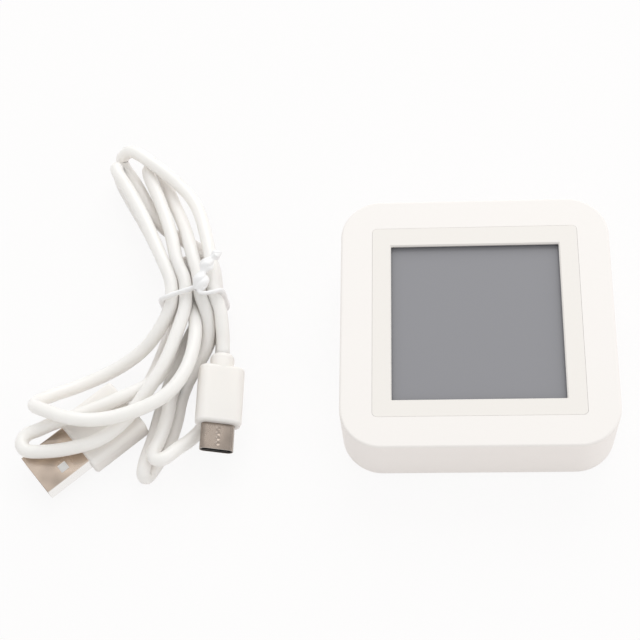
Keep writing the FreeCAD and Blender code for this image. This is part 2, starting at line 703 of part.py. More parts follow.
def lead_stations():
    """The lead from one plug to the other: places, with a direction where it is fixed."""
    out_c = heading(PLUG_C_HEADING)
    start = place(*PLUG_C_BACK)
    line = [(start, out_c), (start + out_c * STRAIGHT, out_c)]
    line += free((8.0, -8.6, 9.0))
    line += through(4, TOP, 1)
    line += free((5.6, 14.5, 9.8), (3.6, 26.0, 6.8), (-1.5, 34.5, 6.8), (-7.5, 40.0, 8.0))
    line += turn(-13.6, 43.0, 5.4, 31, 2.4, 2.5, 1)
    line += free((-12.2, 36.0, 1.9), (-8.0, 28.0, LOW), (-2.5, 20.5, LOW), (3.6, 15.5, LOW), (6.0, 9.0, LOW))
    line += through(4, LOW, -1)
    line += free((4.0, -10.0, 2.0), (-3.6, -21.5, 2.3), (-7.0, -30.0, 5.2))
    line += turn(-6.9, -40.0, 6.6, -215, 3.4, 0.9, 1)
    line += free((-0.2, -37.3, 3.1), (5.0, -30.0, 1.9), (6.6, -22.0, LOW), (7.2, -14.0, 1.9), (8.2, -8.0, 4.8))
    line += through(4, MID, 1)
    line += turn(1.95, 7.6, MID, 0, 3.9, 0.0, 1)
    line += through(2, MID, -1)
    line += free((-0.3, -10.5, MID), (-2.5, -19.0, 6.8), (-6.4, -27.4, 9.6), (-13.2, -33.1, 14.2),
                 (-23.0, -35.2, 14.2), (-31.0, -33.8, 14.5))
    line += turn(-37.4, -27.0, 9.7, -272, 3.3, 3.6, -1)
    line += free((-30.5, -20.4, 3.4), (-23.5, -17.6, 2.0), (-16.6, -14.5, 3.6), (-10.4, -10.0, 8.0))
    line += through(1, TOP, 1)
    line += free((-7.2, 10.0, 9.65), (-11.0, 22.5, 7.9), (-15.0, 31.0, 7.7))
    line += turn(-18.8, 37.5, 5.2, 25, 0.9, 3.35, -1)
    line += free((-15.6, 32.0, 1.9), (-11.0, 23.0, 2.8), (-8.1, 13.5, 5.15))
    line += through(1, MID, -1)
    line += free((-4.7, -10.5, MID), (-5.8, -16.8, MID), (-10.4, -21.9, 6.7), (-17.0, -26.2, 9.9),
                 (-25.0, -29.5, 9.9), (-32.5, -31.4, 10.2), (-36.6, -31.2, 9.1))
    line += turn(-40.4, -35.0, 8.3, -260, 4.0, -0.5, 1)
    line += free((-33.5, -39.8, 9.4), (-24.4, -38.8, 10.2), (-18.0, -35.4, 10.0), (-12.2, -27.0, 11.5),
                 (-8.2, -19.0, 11.0), (-4.7, -11.1, 9.9))
    line += through(2, TOP, 1)
    line += free((-2.8, 9.6, TOP), (-4.7, 20.6, 7.4), (-7.4, 29.7, 6.0))
    line += turn(-7.6, 38.7, 3.4, 25, 3.0, 1.6, -1)
    line += free((-2.8, 28.0, 4.4), (0.5, 19.5, 7.9), (1.7, 13.5, 9.9))
    line += through(3, TOP, -1)
    line += free((3.3, -9.5, 9.2), (2.8, -16.3, 5.8), (0.8, -21.7, 2.8), (-2.6, -28.2, 1.9), (-6.4, -35.5, 1.9))
    line += turn(-12.9, -44.9, 4.2, -211, 2.6, -2.3, -1)
    line += free((-12.3, -39.0, 3.3), (-9.9, -31.2, 1.9), (-8.1, -21.5, LOW), (-2.4, -10.5, LOW))
    line += through(3, LOW, 1)
    line += turn(-1.95, 9.0, LOW, 0, 3.9, 0.0, 1)
    line += through(1, LOW, -1)
    line += free((-8.1, -9.6, 1.9), (-11.6, -18.5, 2.3))
    into_a = heading(PLUG_A_HEADING)
    end = place(*PLUG_A_BACK)
    line += [(end - into_a * STRAIGHT, into_a), (end, into_a)]
    return line


def with_directions(line):
    """Give each free place the direction of the circle through it and its neighbours."""
    done = []
    for i, (p, t) in enumerate(line):
        if t is None:
            back = p - line[i - 1][0]
            ahead = line[i + 1][0] - p
            t = back * (ahead.Length / back.Length) + ahead * (back.Length / ahead.Length)
            t = t / t.Length
        done.append((p, t))
    return done


def arc_edge(p, corner, q):
    """Edge from p to q touching the lines p-corner and corner-q, with its radius."""
    m = (p + q) / 2
    half = (q - p).Length / 2
    apex = (corner - m).Length
    if apex < 1e-4:
        return Part.LineSegment(p, q).toShape(), math.inf
    slant = math.hypot(apex, half)
    mid = m + (corner - m) / apex * (half * apex / (slant + half))
    return Part.Arc(p, mid, q).toShape(), half * slant / apex


def biarc_edges(p0, t0, p1, t1):
    """Two arcs that leave p0 along t0 and reach p1 along t1."""
    v = p1 - p0
    t = t0 + t1
    k = 2 * (1 - t0.dot(t1))
    if k < 1e-9:
        d = v.dot(v) / (4 * v.dot(t1))
    else:
        d = (-v.dot(t) + math.sqrt(v.dot(t) ** 2 + k * v.dot(v))) / k
    middle = (p0 + p1 + (t0 - t1) * d) / 2
    return [arc_edge(p0, p0 + t0 * d, middle), arc_edge(middle, p1 - t1 * d, p1)]


def centreline(line):
    """Edges and radii of the smooth line through stations."""
    pairs = []
    for (p0, t0), (p1, t1) in zip(line, line[1:]):
        pairs += biarc_edges(p0, t0, p1, t1)
    return [e for e, r in pairs], [r for e, r in pairs]


def tube(edges, diameter):
    """Round tube swept along joined edges."""
    first = edges[0]
    start = first.valueAt(first.FirstParameter)
    along = first.tangentAt(first.FirstParameter)
    ring = Part.Wire(Part.Circle(start, along, diameter / 2).toShape())
    return Part.Wire(edges).makePipeShell([ring], True, False)


def least_gap(edges, diameter, step=0.7, apart=2.0):
    """Least distance between two stretches of the line over two diameters apart along it, less one diameter."""
    points = []
    run = 0.0
    for e in edges:
        count = max(2, int(e.Length / step))
        for i in range(count):
            p = e.getParameterByLength(e.Length * i / count)
            points.append((e.valueAt(p), run + e.Length * i / count))
        run += e.Length
    cells = {}
    size = 2 * diameter
    for n, (p, s) in enumerate(points):
        cells.setdefault((int(p.x // size), int(p.y // size)), []).append(n)
    least = math.inf
    for (cx, cy), members in cells.items():
        near = [n for dx in (-1, 0, 1) for dy in (-1, 0, 1) for n in cells.get((cx + dx, cy + dy), [])]
        for n in members:
            for m in near:
                if points[m][1] - points[n][1] > apart * diameter:
                    least = min(least, (points[m][0] - points[n][0]).Length)
    return least - diameter, run


def power_cable():
    edges, radii = centreline(with_directions(lead_stations()))
    solid = tube(edges, CORD_D)
    gap, length = least_gap(edges, CORD_D)
    low = min(e.BoundBox.ZMin for e in edges)
    exact = math.pi * CORD_D ** 2 / 4 * length
    print("lead: length %.1f, least radius %.2f, least gap to itself %.2f, lowest centre %.2f" % (
        length, min(radii), gap, low))
    print("lead: volume %.1f, section times length %.1f" % (solid.Volume, exact))
    return solid


# Twist tie

def twist_stations(phase, outwards):
    """One wire of the twisted tail, from the knot to its cut end or back."""
    start = place(*TWIST_FROM)
    axis = place(*TWIST_TO) - start
    u = axis / axis.Length
    side = V(u.y, -u.x, 0)
    side = side / side.Length
    up = side.cross(u)
    stations = []
    steps = int(TWIST_TURNS * 4)
    for i in range(steps + 1):
        s = i * TWIST_PITCH / 4
        f = math.pi / 2 * i + phase
        out = side * math.cos(f) + up * math.sin(f)
        across = side * -math.sin(f) + up * math.cos(f)
        t = u + across * (2 * math.pi * TWIST_R / TWIST_PITCH)
        stations.append((start + u * s + out * TWIST_R, t / t.Length))
    if outwards:
        return stations
    return [(p, t * -1) for p, t in reversed(stations)]


def ring_stations():
    """The tie's wire round the strands, from the knot over the top, left, under and up again."""
    r = TIE_CORNER
    half = (COLUMNS - 1) / 2 * SLOT_PITCH + r
    low = LOW + TIE_LIFT - r
    high = TOP + TIE_LIFT + r
    a, b = tie_axes()
    up = V(0, 0, 1)
    corners = [(-half + r, high, b * -1), (-half, high - r, up * -1), (-half, low + r, up * -1),
               (-half + r, low, b), (half - r, low, b), (half, low + r, up), (half, high - r, up),
               (half - r, high, b * -1)]
    return [(place(across, TIE_ALONG, z), t) for across, z, t in corners]


def twist_tie():
    line = twist_stations(math.pi, False) + ring_stations() + twist_stations(0.0, True)
    edges, radii = centreline(line)
    gap, length = least_gap(edges, TIE_D, 0.2)
    print("tie: length %.1f, least radius %.2f, least gap to itself %.2f" % (length, min(radii), gap))
    return tube(edges, TIE_D)


# Plugs, built along +X from the back of the moulding and then set in place

def set_in_place(shape, back, degrees, roll=0.0):
    """Turn a plug that points along +X so that it points along a heading, with its back at a place."""
    way = heading(degrees)
    turned = shape.copy()
    turned.rotate(V(0, 0, 0), V(1, 0, 0), -roll)
    turned.rotate(V(0, 0, 0), V(0, 0, 1), math.degrees(math.atan2(way.y, way.x)))
    turned.translate(place(*back))
    return turned


def at_c(shape):
    return set_in_place(shape, PLUG_C_BACK, PLUG_C_HEADING + 180, PLUG_C_ROLL)


def at_a(shape):
    return set_in_place(shape, PLUG_A_BACK, PLUG_A_HEADING)


def moulding(size, corner, start=0.0):
    """Rounded block along +X."""
    length, wide, thick = size
    block = box((start, start + length), (-wide / 2, wide / 2), (-thick / 2, thick / 2))
    lengthwise = [e for e in block.Edges if e.BoundBox.XLength > length / 2]
    block = block.makeFillet(corner, lengthwise)
    ends = [e for e in block.Edges if e.BoundBox.XLength < TINY]
    return block.makeFillet(MOULD_EDGE, ends)


C_FRONT = NECK_L + C_MOULD[0]
C_TIP = C_FRONT + C_SHELL_OUT


def usb_c_shell_form(extra=0.0, start=None):
    start = C_FRONT - C_SHELL_IN if start is None else start
    return obround(C_SHELL[0] + 2 * extra, C_SHELL[1] + 2 * extra, C_TIP - start, 0, 0, start)


def usb_c_plug_moulding():
    block = moulding(C_MOULD, C_MOULD_R, NECK_L)
    neck = Part.makeCylinder(NECK_R, NECK_L + C_MOULD_R, V(0, 0, 0), V(1, 0, 0))
    neck = neck.makeFillet(NECK_EDGE, [e for e in neck.Edges if abs(e.BoundBox.XMax) < TINY])
    return at_c(block.fuse(neck).cut(usb_c_shell_form()).removeSplitter())


def usb_c_plug_shell():
    inner = usb_c_shell_form(-C_SHELL_WALL, C_FRONT - C_SHELL_IN - OVER).fuse(
        usb_c_shell_form(-C_SHELL_WALL, C_FRONT).translated(V(C_SHELL_OUT / 2, 0, 0)))
    shell = usb_c_shell_form().cut(inner)
    top = C_SHELL[1] / 2
    ball_r = (DIMPLE_R ** 2 + DIMPLE_DEEP ** 2) / (2 * DIMPLE_DEEP)
    middle = (C_FRONT + C_TIP) / 2
    for i in range(DIMPLES):
        x = middle + (i - (DIMPLES - 1) / 2) * DIMPLE_PITCH
        shell = shell.cut(Part.makeSphere(ball_r, V(x, 0, top + ball_r - DIMPLE_DEEP)))
    return at_c(shell)


def usb_c_plug_insert():
    start = C_FRONT - C_SHELL_IN
    block = obround(C_SHELL[0] - 2 * C_SHELL_WALL, C_SHELL[1] - 2 * C_SHELL_WALL,
                    C_TIP - C_INSERT_BACK - start, 0, 0, start)
    end = C_TIP - C_INSERT_BACK
    slot = box((end - C_SLOT_L, end + OVER), (-C_SLOT[0] / 2, C_SLOT[0] / 2), (-C_SLOT[1] / 2, C_SLOT[1] / 2))
    return at_c(block.cut(slot))


def usb_c_plug_contacts():
    end = C_TIP - C_INSERT_BACK
    bars = []
    for i in range(CONTACTS):
        y = (i - (CONTACTS - 1) / 2) * CONTACT_PITCH
        for level in (C_SLOT[1] / 2 - CONTACT_T, -C_SLOT[1] / 2):
            bars.append(box((end - C_SLOT_L, end - OVER), (y - CONTACT_W / 2, y + CONTACT_W / 2),
                            (level, level + CONTACT_T)))
    return at_c(Part.makeCompound(bars))


A_FRONT = A_MOULD[0]
A_TIP = A_FRONT + A_SHELL_OUT


def usb_a_shell_form(wall=0.0, start=None, reach=0.0):
    """Solid the size of the shell, less a wall."""
    start = A_FRONT - A_SHELL_IN if start is None else start
    wide = A_SHELL[0] - 2 * wall
    thick = A_SHELL[1] - 2 * wall
    block = box((start, A_TIP + reach), (-wide / 2, wide / 2), (-thick / 2, thick / 2))
    lengthwise = [e for e in block.Edges if e.BoundBox.XLength > OVER]
    return block.makeFillet(A_SHELL_R - wall, lengthwise)


def usb_a_plug_moulding():
    return at_a(moulding(A_MOULD, A_MOULD_R).cut(usb_a_shell_form()))


def usb_a_plug_shell():
    shell = usb_a_shell_form().cut(usb_a_shell_form(A_SHELL_WALL, A_FRONT - A_SHELL_IN - OVER, OVER))
    x = A_TIP - A_HOLE_FROM_TIP
    for y in (-A_HOLE_Y, A_HOLE_Y):
        shell = shell.cut(box((x - A_HOLE / 2, x + A_HOLE / 2), (y - A_HOLE / 2, y + A_HOLE / 2),
                              (-A_SHELL[1], A_SHELL[1])))
    return at_a(shell)


def tongue_span():
    """Levels of the plug's tongue, which lies against the upper side of the shell."""
    high = A_SHELL[1] / 2 - A_SHELL_WALL
    return high - A_TONGUE_T, high


def usb_a_plug_tongue():
    low, high = tongue_span()
    form = usb_a_shell_form(A_SHELL_WALL)
    wide = A_SHELL[0]
    blade = form.common(box((0, A_TIP - A_TONGUE_BACK), (-wide, wide), (low, high)))
    back = form.common(box((0, A_FRONT), (-wide, wide), (-wide, low)))
    return at_a(blade.fuse(back).removeSplitter())


def usb_a_plug_contacts():
    low, high = tongue_span()
    bars = []
    for y, half, length in A_CONTACTS:
        end = A_TIP - A_TONGUE_BACK - OVER
        bars.append(box((end - length, end), (y - half / 2, y + half / 2), (low - A_CONTACT_T, low)))
    return at_a(Part.makeCompound(bars))


def build():
    nodes = {
        "front_housing": front_housing(),
        "rear_cover": rear_cover(),
        "display_bezel": display_bezel(),
        "lcd_gasket": lcd_gasket(),
        "lcd_front_polariser": sheet(FRONT_GLASS_TOP, POLARISER_T),
        "lcd_front_glass": sheet(REAR_GLASS_TOP, GLASS_T),
        "lcd_rear_glass": lcd_rear_glass(),
        "lcd_rear_polariser": sheet(GUIDE_TOP, POLARISER_T),
        "backlight_guide": sheet(GUIDE_BACK, GUIDE_T),
        "backlight_reflector": sheet(REFLECTOR_BACK, REFLECTOR_T),
        "backlight_leds": backlight_leds(),
        "lcd_carrier": lcd_carrier(),
        "lcd_pins": lcd_pins(),
        "main_board": main_board(),
        "wireless_module": chip(MODULE, MODULE_X, MODULE_Y),
        "wireless_shield_can": wireless_shield_can(),
        "lcd_driver_chip": chip(DRIVER, DRIVER_X, BOARD_Y / 2 - DRIVER_IN),
        "voltage_regulator": chip(REGULATOR, BOARD_SCREW_X - REGULATOR_IN, REGULATOR_Y),
        "board_capacitors": board_capacitors(),
        "pairing_switch": pairing_switch(),
        "switch_plunger": switch_plunger(),
        "pairing_button": pairing_button(),
        "sensor_board": sensor_board(),
        "humidity_sensor_chip": humidity_sensor_chip(),
        "dust_mesh": dust_mesh(),
        "usb_c_socket_shell": usb_c_socket_shell(),
        "usb_c_socket_tongue": usb_c_socket_tongue(),
        "usb_c_socket_contacts": usb_c_socket_contacts(),
        "stand": stand(),
        "stand_hinge_pin": stand_pin_bar(),
        "power_cable": power_cable(),
        "twist_tie": twist_tie(),
        "usb_c_plug_moulding": usb_c_plug_moulding(),
        "usb_c_plug_shell": usb_c_plug_shell(),
        "usb_c_plug_insert": usb_c_plug_insert(),
        "usb_c_plug_contacts": usb_c_plug_contacts(),
        "usb_a_plug_moulding": usb_a_plug_moulding(),
        "usb_a_plug_shell": usb_a_plug_shell(),
        "usb_a_plug_tongue": usb_a_plug_tongue(),
        "usb_a_plug_contacts": usb_a_plug_contacts(),
    }
    for i, (x, y) in enumerate(four(COVER_SCREW_XY, COVER_SCREW_XY), 1):
        nodes["rear_cover_screw_%d" % i] = screw(x, y, cover_seat(), COVER_HEAD_R, COVER_HEAD_T,
                                                 SCREW_SHANK_R, COVER_SCREW_L)
    for i, (x, y) in enumerate(four(BOARD_SCREW_X, BOARD_SCREW_Y), 1):
        nodes["board_screw_%d" % i] = screw(x, y, BOARD_BACK, BOARD_HEAD_R, BOARD_HEAD_T,
                                            BOARD_SHANK_R, BOARD_SCREW_L)
    for i, (x, y) in enumerate(four(FOOT_X, FOOT_Y), 1):
        nodes["foot_%d" % i] = foot(x, y)
    return nodes


def main():
    os.makedirs("parts", exist_ok=True)
    for name, shape in build().items():
        bad = [s for s in shape.Solids if not s.isValid()]
        print("%-24s solids %d volume %.2f%s" % (name, len(shape.Solids), shape.Volume,
                                                 " NOT VALID" if bad or not shape.Solids else ""))
        shape.exportStep("parts/%s.step" % name)


if __name__ == "__main__":
    main()
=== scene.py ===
import logging
import math
from dataclasses import dataclass, field
from enum import Enum
from typing import Optional, Union

import bmesh
import bpy
from mathutils import Matrix, Vector


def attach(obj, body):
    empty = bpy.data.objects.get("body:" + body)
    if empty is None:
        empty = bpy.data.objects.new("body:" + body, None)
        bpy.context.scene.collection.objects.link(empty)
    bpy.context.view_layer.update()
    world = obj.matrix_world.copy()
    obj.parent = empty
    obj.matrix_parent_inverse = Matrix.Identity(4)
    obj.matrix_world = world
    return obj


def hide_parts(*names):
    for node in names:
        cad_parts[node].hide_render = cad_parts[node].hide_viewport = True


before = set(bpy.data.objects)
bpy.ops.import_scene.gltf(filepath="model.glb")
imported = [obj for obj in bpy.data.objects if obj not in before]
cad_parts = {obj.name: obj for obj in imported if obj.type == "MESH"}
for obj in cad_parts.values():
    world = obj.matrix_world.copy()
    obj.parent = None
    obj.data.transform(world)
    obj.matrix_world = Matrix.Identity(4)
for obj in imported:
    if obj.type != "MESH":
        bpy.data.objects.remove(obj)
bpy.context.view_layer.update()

# A square desk sensor for temperature and humidity, lying on its back, with its tied power lead
# beside it. Lengths are in metres, except where a class says that its places are in millimetres.

MM = 0.001
PLAIN_WHITE = (1.0, 1.0, 1.0, 1.0)
NOISE_ROUGHNESS = 0.55
log = logging.getLogger("sensor")

Colour = tuple[float, float, float]
Point = tuple[float, float, float]
Station = tuple[float, float, float]
FilmStation = tuple[float, float, float, float]
Number = Union[float, "Value", bpy.types.NodeSocket]
Tint = Union[Colour, bpy.types.NodeSocket]


class Pattern(Enum):
    """Kinds of fine relief a finish can carry."""

    MOULDED = "moulded"
    BRUSHED = "brushed"
    WOVEN = "woven"
    CELLULAR = "cellular"


class Value:
    """A shader socket that carries a number, with arithmetic that adds Math nodes."""

    def __init__(self, tree: "NodeTree", socket: bpy.types.NodeSocket) -> None:
        """Wraps a socket.

        Args:
            tree: the shader tree being built.
            socket: an output that carries a number.
        """
        self.tree = tree
        self.socket = socket

    def __add__(self, other: Number) -> "Value":
        """Sum with a number or another value."""
        return self.tree.math("ADD", self, other)

    __radd__ = __add__

    def __sub__(self, other: Number) -> "Value":
        """This value less another."""
        return self.tree.math("SUBTRACT", self, other)

    def __rsub__(self, other: Number) -> "Value":
        """A number less this value."""
        return self.tree.math("SUBTRACT", other, self)

    def __mul__(self, other: Number) -> "Value":
        """Product with a number or another value."""
        return self.tree.math("MULTIPLY", self, other)

    __rmul__ = __mul__

    def unsigned(self) -> "Value":
        """This value without its sign."""
        return self.tree.math("ABSOLUTE", self, 0.0)

    def kept(self) -> "Value":
        """This value held between nought and one."""
        return self.tree.math("MINIMUM", self.tree.math("MAXIMUM", self, 0.0), 1.0)


class NodeTree:
    """A shader tree, with the ways to add nodes to it."""

    def __init__(self, tree: bpy.types.NodeTree) -> None:
        """Takes the tree that the nodes go into.

        Args:
            tree: a material's or the world's tree.
        """
        self.tree = tree

    def node(self, kind: str, settings: Optional[dict[str, object]] = None,
             inputs: Optional[dict[Union[str, int], object]] = None) -> bpy.types.Node:
        """Adds a node.

        Args:
            kind: the node's type name.
            settings: properties set before the sockets are filled.
            inputs: values, or links from Value objects and sockets, by socket name or number.

        Returns:
            The new node.
        """
        made = self.tree.nodes.new(kind)
        for key, setting in (settings or {}).items():
            setattr(made, key, setting)
        for key, given in (inputs or {}).items():
            self.fill(made.inputs[key], given)
        return made

    def fill(self, socket: bpy.types.NodeSocket, given: object) -> None:
        """Sets a socket to a constant, or links it to a value or another socket.

        Args:
            socket: the input to fill.
            given: a Value, an output socket, or a constant.
        """
        if isinstance(given, Value):
            self.tree.links.new(given.socket, socket)
        elif isinstance(given, bpy.types.NodeSocket):
            self.tree.links.new(given, socket)
        else:
            socket.default_value = given

    def math(self, operation: str, first: Number, second: Number) -> Value:
        """Adds a Math node and wraps its output."""
        made = self.node("ShaderNodeMath", {"operation": operation}, {0: first, 1: second})
        return Value(self, made.outputs[0])

    def shown(self) -> Value:
        """Tells the rays that the eye sees from those that only carry light.

        Returns:
            1 for rays from the camera, off metal or through glass, and 0 for the others.
        """
        path = self.node("ShaderNodeLightPath").outputs
        seen = self.math("MAXIMUM", path["Is Camera Ray"], path["Is Glossy Ray"])
        return self.math("MAXIMUM", seen, path["Is Transmission Ray"])


class Surface(NodeTree):
    """A material being built on one Principled shader."""

    def __init__(self, name: str) -> None:
        """Makes a material that is still plain.

        Args:
            name: the material's name.
        """
        self.material = bpy.data.materials.new(name)
        self.material.use_nodes = True
        super().__init__(self.material.node_tree)
        self.shader = self.tree.nodes["Principled BSDF"]
        origin = self.node("ShaderNodeTexCoord")
        self.coordinates = origin.outputs["Object"]
        self.facing = origin.outputs["Normal"]

    def placed(self, scale: Point) -> bpy.types.NodeSocket:
        """Object coordinates multiplied by a scale along each axis."""
        made = self.node("ShaderNodeMapping", {"vector_type": "POINT"},
                         {"Vector": self.coordinates, "Scale": scale})
        return made.outputs["Vector"]

    def axis(self, vector: bpy.types.NodeSocket, number: int) -> Value:
        """One part of a vector: 0, 1 or 2 for x, y or z."""
        parts = self.node("ShaderNodeSeparateXYZ", None, {0: vector})
        return Value(self, parts.outputs[number])

    def noise(self, size: float, detail: float, stretch: Point = (1.0, 1.0, 1.0)) -> Value:
        """Noise about 0.5 whose blobs are about a given size.

        Args:
            size: metres from one blob to the next.
            detail: octaves of finer noise.
            stretch: how much longer the blobs are along each axis.

        Returns:
            The noise as a value from 0 to 1.
        """
        scale = tuple(1.0 / s for s in stretch)
        made = self.node("ShaderNodeTexNoise", None,
                         {"Vector": self.placed(scale), "Scale": 1.0 / size, "Detail": detail,
                          "Roughness": NOISE_ROUGHNESS})
        return Value(self, made.outputs[0])

    def cells(self, size: float) -> Value:
        """Distance to the nearest of many points spread about a size apart."""
        made = self.node("ShaderNodeTexVoronoi", {"feature": "F1"},
                         {"Vector": self.coordinates, "Scale": 1.0 / size})
        return Value(self, made.outputs["Distance"])

    def weave(self, size: float) -> Value:
        """Two crossed sets of threads, over the plane that an upright sheet lies in.

        Args:
            size: metres from one thread to the next.

        Returns:
            The threads' height, from 0 to 1.
        """
        rate = 2 * math.pi / size
        along_y, along_z = (self.math("SINE", self.axis(self.coordinates, number) * rate, 0.0)
                            for number in (1, 2))
        return self.math("MAXIMUM", along_y, along_z) * 0.5 + 0.5

    def mix(self, amount: Value, low: Tint, high: Tint) -> bpy.types.NodeSocket:
        """Colour between two, by an amount.

        Args:
            amount: 0 for the first colour, 1 for the second.
            low: the first colour.
            high: the second colour.

        Returns:
            The socket that carries the mixed colour.
        """
        ends = [tint if isinstance(tint, bpy.types.NodeSocket) else (*tint, 1.0)
                for tint in (low, high)]
        made = self.node("ShaderNodeMix", {"data_type": "RGBA"},
                         {0: amount, 6: ends[0], 7: ends[1]})
        return made.outputs[2]

    def relief(self, height: Value, depth: float) -> None:
        """Bump from a height of 0 to 1 over a depth in metres."""
        made = self.node("ShaderNodeBump", None,
                         {"Height": height, "Distance": depth, "Strength": 1.0})
        self.set(Normal=made.outputs["Normal"])

    def set(self, **constants: object) -> None:
        """Sets or links sockets of the shader, named with underscores for spaces."""
        for key, given in constants.items():
            self.fill(self.shader.inputs[key.replace("_", " ")], given)


def shade(colour: Colour, factor: float) -> Colour:
    """A colour made darker or lighter by a factor, kept under white."""
    return tuple(min(1.0, c * factor) for c in colour)


@dataclass(frozen=True)
class Finish:
    """A plain finish with a fine relief and a slight unevenness of colour and gloss.

    Attributes:
        name: the material's name.
        colour: base colour, linear.
        roughness: middle roughness.
        pattern: kind of relief.
        grain: size of the relief.
        depth: its depth.
        tone: how far the colour wanders, as a part of it.
        metallic: 1 for bare metal.
        coat: weight of a clear coat.
        transmission: how clear it is.
        subsurface: how far it lets light soak in.
        soak: how deep that light goes.
        brushed_along: how much longer a brushed grain is along each axis.
        cloud: size of the patches that the colour wanders in.
        grain_gloss: how far the relief changes the roughness.
        cloud_gloss: how far the patches change it.
    """

    name: str
    colour: Colour
    roughness: float = 0.5
    pattern: Pattern = Pattern.MOULDED
    grain: float = 0.35 * MM
    depth: float = 0.01 * MM
    tone: float = 0.03
    metallic: float = 0.0
    coat: float = 0.0
    transmission: float = 0.0
    subsurface: float = 0.0
    soak: float = 1.0 * MM
    brushed_along: Point = (1.0, 1.0, 1.0)
    cloud: float = 14 * MM
    grain_gloss: float = 0.12
    cloud_gloss: float = 0.05

    def height(self, surface: Surface) -> Value:
        """The relief's height.

        Args:
            surface: the material being built.

        Returns:
            A value from 0 to 1.
        """
        if self.pattern is Pattern.WOVEN:
            return surface.weave(self.grain)
        if self.pattern is Pattern.CELLULAR:
            return surface.cells(self.grain)
        if self.pattern is Pattern.BRUSHED:
            return surface.noise(self.grain, 2.0, self.brushed_along)
        return surface.noise(self.grain, 4.0)

    def build(self) -> bpy.types.Material:
        """Makes the material.

        Returns:
            The finished material.
        """
        surface = Surface(self.name)
        height = self.height(surface)
        cloud = surface.noise(self.cloud, 2.0)
        gloss = (height - 0.5) * self.grain_gloss + (cloud - 0.5) * self.cloud_gloss
        surface.set(Base_Color=surface.mix(cloud, shade(self.colour, 1 - self.tone),
                                           shade(self.colour, 1 + self.tone)),
                    Roughness=gloss + self.roughness, Metallic=self.metallic,
                    Coat_Weight=self.coat, Transmission_Weight=self.transmission,
                    Subsurface_Weight=self.subsurface)
        if self.subsurface:
            surface.set(Subsurface_Radius=(1.0, 1.0, 1.0), Subsurface_Scale=self.soak)
        surface.relief(height, self.depth)
        return surface.material


@dataclass(frozen=True)
class BoardFinish:
    """Printed circuit board: solder mask over tracks, with a slight shine.

    Attributes:
        name: the material's name.
        mask: colour of the bare mask.
        track: colour where copper lies under it.
        density: rows of tracks to a metre, as the brick pattern counts them.
        shift: how far each row of tracks is moved along.
        squash: how much shorter every other row's tracks are.
        gap: width of the bare mask between tracks, as the pattern counts it.
        grain: size of the mask's fine unevenness.
        roughness: least roughness.
        grain_gloss: how far the grain changes it.
        coat: weight of the clear coat.
        depth: depth of the relief.
        track_rise: the tracks' share of that depth.
        grain_rise: the grain's share of it.
    """

    name: str
    mask: Colour
    track: Colour
    density: float = 420.0
    shift: float = 0.35
    squash: float = 0.6
    gap: float = 0.035
    grain: float = 0.6 * MM
    roughness: float = 0.32
    grain_gloss: float = 0.12
    coat: float = 0.3
    depth: float = 0.03 * MM
    track_rise: float = 0.6
    grain_rise: float = 0.1

    def build(self) -> bpy.types.Material:
        """Makes the material.

        Returns:
            The finished material.
        """
        surface = Surface(self.name)
        made = surface.node("ShaderNodeTexBrick", {"offset": self.shift, "squash": self.squash},
                            {"Vector": surface.coordinates, "Scale": self.density,
                             "Mortar Size": self.gap, "Color1": PLAIN_WHITE,
                             "Color2": PLAIN_WHITE, "Mortar": (0.0, 0.0, 0.0, 1.0)})
        track = 1 - Value(surface, made.outputs["Fac"])
        grain = surface.noise(self.grain, 3.0)
        surface.set(Base_Color=surface.mix(track, self.track, self.mask),
                    Roughness=self.roughness + grain * self.grain_gloss, Coat_Weight=self.coat)
        surface.relief(track * self.track_rise + grain * self.grain_rise, self.depth)
        return surface.material


@dataclass(frozen=True)
class ShellFinish:
    """Plated steel of a plug: a darker painted reflection on its faces that look up, a bright
    painted reflection on its steep faces, with faint stains.

    Attributes:
        name: the material's name.
        face: colour of the faces that look up, a darker painted reflection.
        edge: colour of the others, a bright painted reflection.
        roughness: middle roughness.
        level_gain: how sharply a face counts as upward once it leans less, for the painted
            reflection.
        level_cut: how much of that is taken off, so that steep faces count as edges.
        stain: size of the stains.
        stain_gain: how hard their borders are.
        dark: the darkest stains' share of the face's colour.
        light: the lightest stains' share of it.
        brush: width of the brushed lines.
        brushed_along: how much longer the lines are along each axis.
        depth: their depth.
        brush_gloss: how far the lines change the roughness.
        stain_gloss: how far the stains change it.
    """

    name: str
    face: Colour
    edge: Colour
    roughness: float = 0.22
    level_gain: float = 3.0
    level_cut: float = 1.8
    stain: float = 7 * MM
    stain_gain: float = 3.0
    dark: float = 0.7
    light: float = 1.15
    brush: float = 0.25 * MM
    brushed_along: Point = (1.0, 1.0, 6.0)
    depth: float = 0.0008 * MM
    brush_gloss: float = 0.05
    stain_gloss: float = 0.12

    def build(self) -> bpy.types.Material:
        """Makes the material.

        Returns:
            The finished material.
        """
        surface = Surface(self.name)
        upward = surface.axis(surface.facing, 2).unsigned()
        # Painted reflection: by the normal's height, faces that look up take the darker painted
        # tone and steep faces the bright painted reflection.
        level = (upward * self.level_gain - self.level_cut).kept()
        stain = ((surface.noise(self.stain, 1.0) - 0.5) * self.stain_gain + 0.5).kept()
        lines = surface.noise(self.brush, 2.0, self.brushed_along)
        # Random stains darken and lighten the painted reflection colour of the faces that look
        # up.
        stains_on_painted_reflection = surface.mix(stain, shade(self.face, self.dark), shade(self.face, self.light))
        gloss = (lines - 0.5) * self.brush_gloss + (stain - 0.5) * self.stain_gloss
        surface.set(Base_Color=surface.mix(level, self.edge, stains_on_painted_reflection), Metallic=1.0,
                    Roughness=gloss + self.roughness)
        surface.relief(lines, self.depth)
        return surface.material


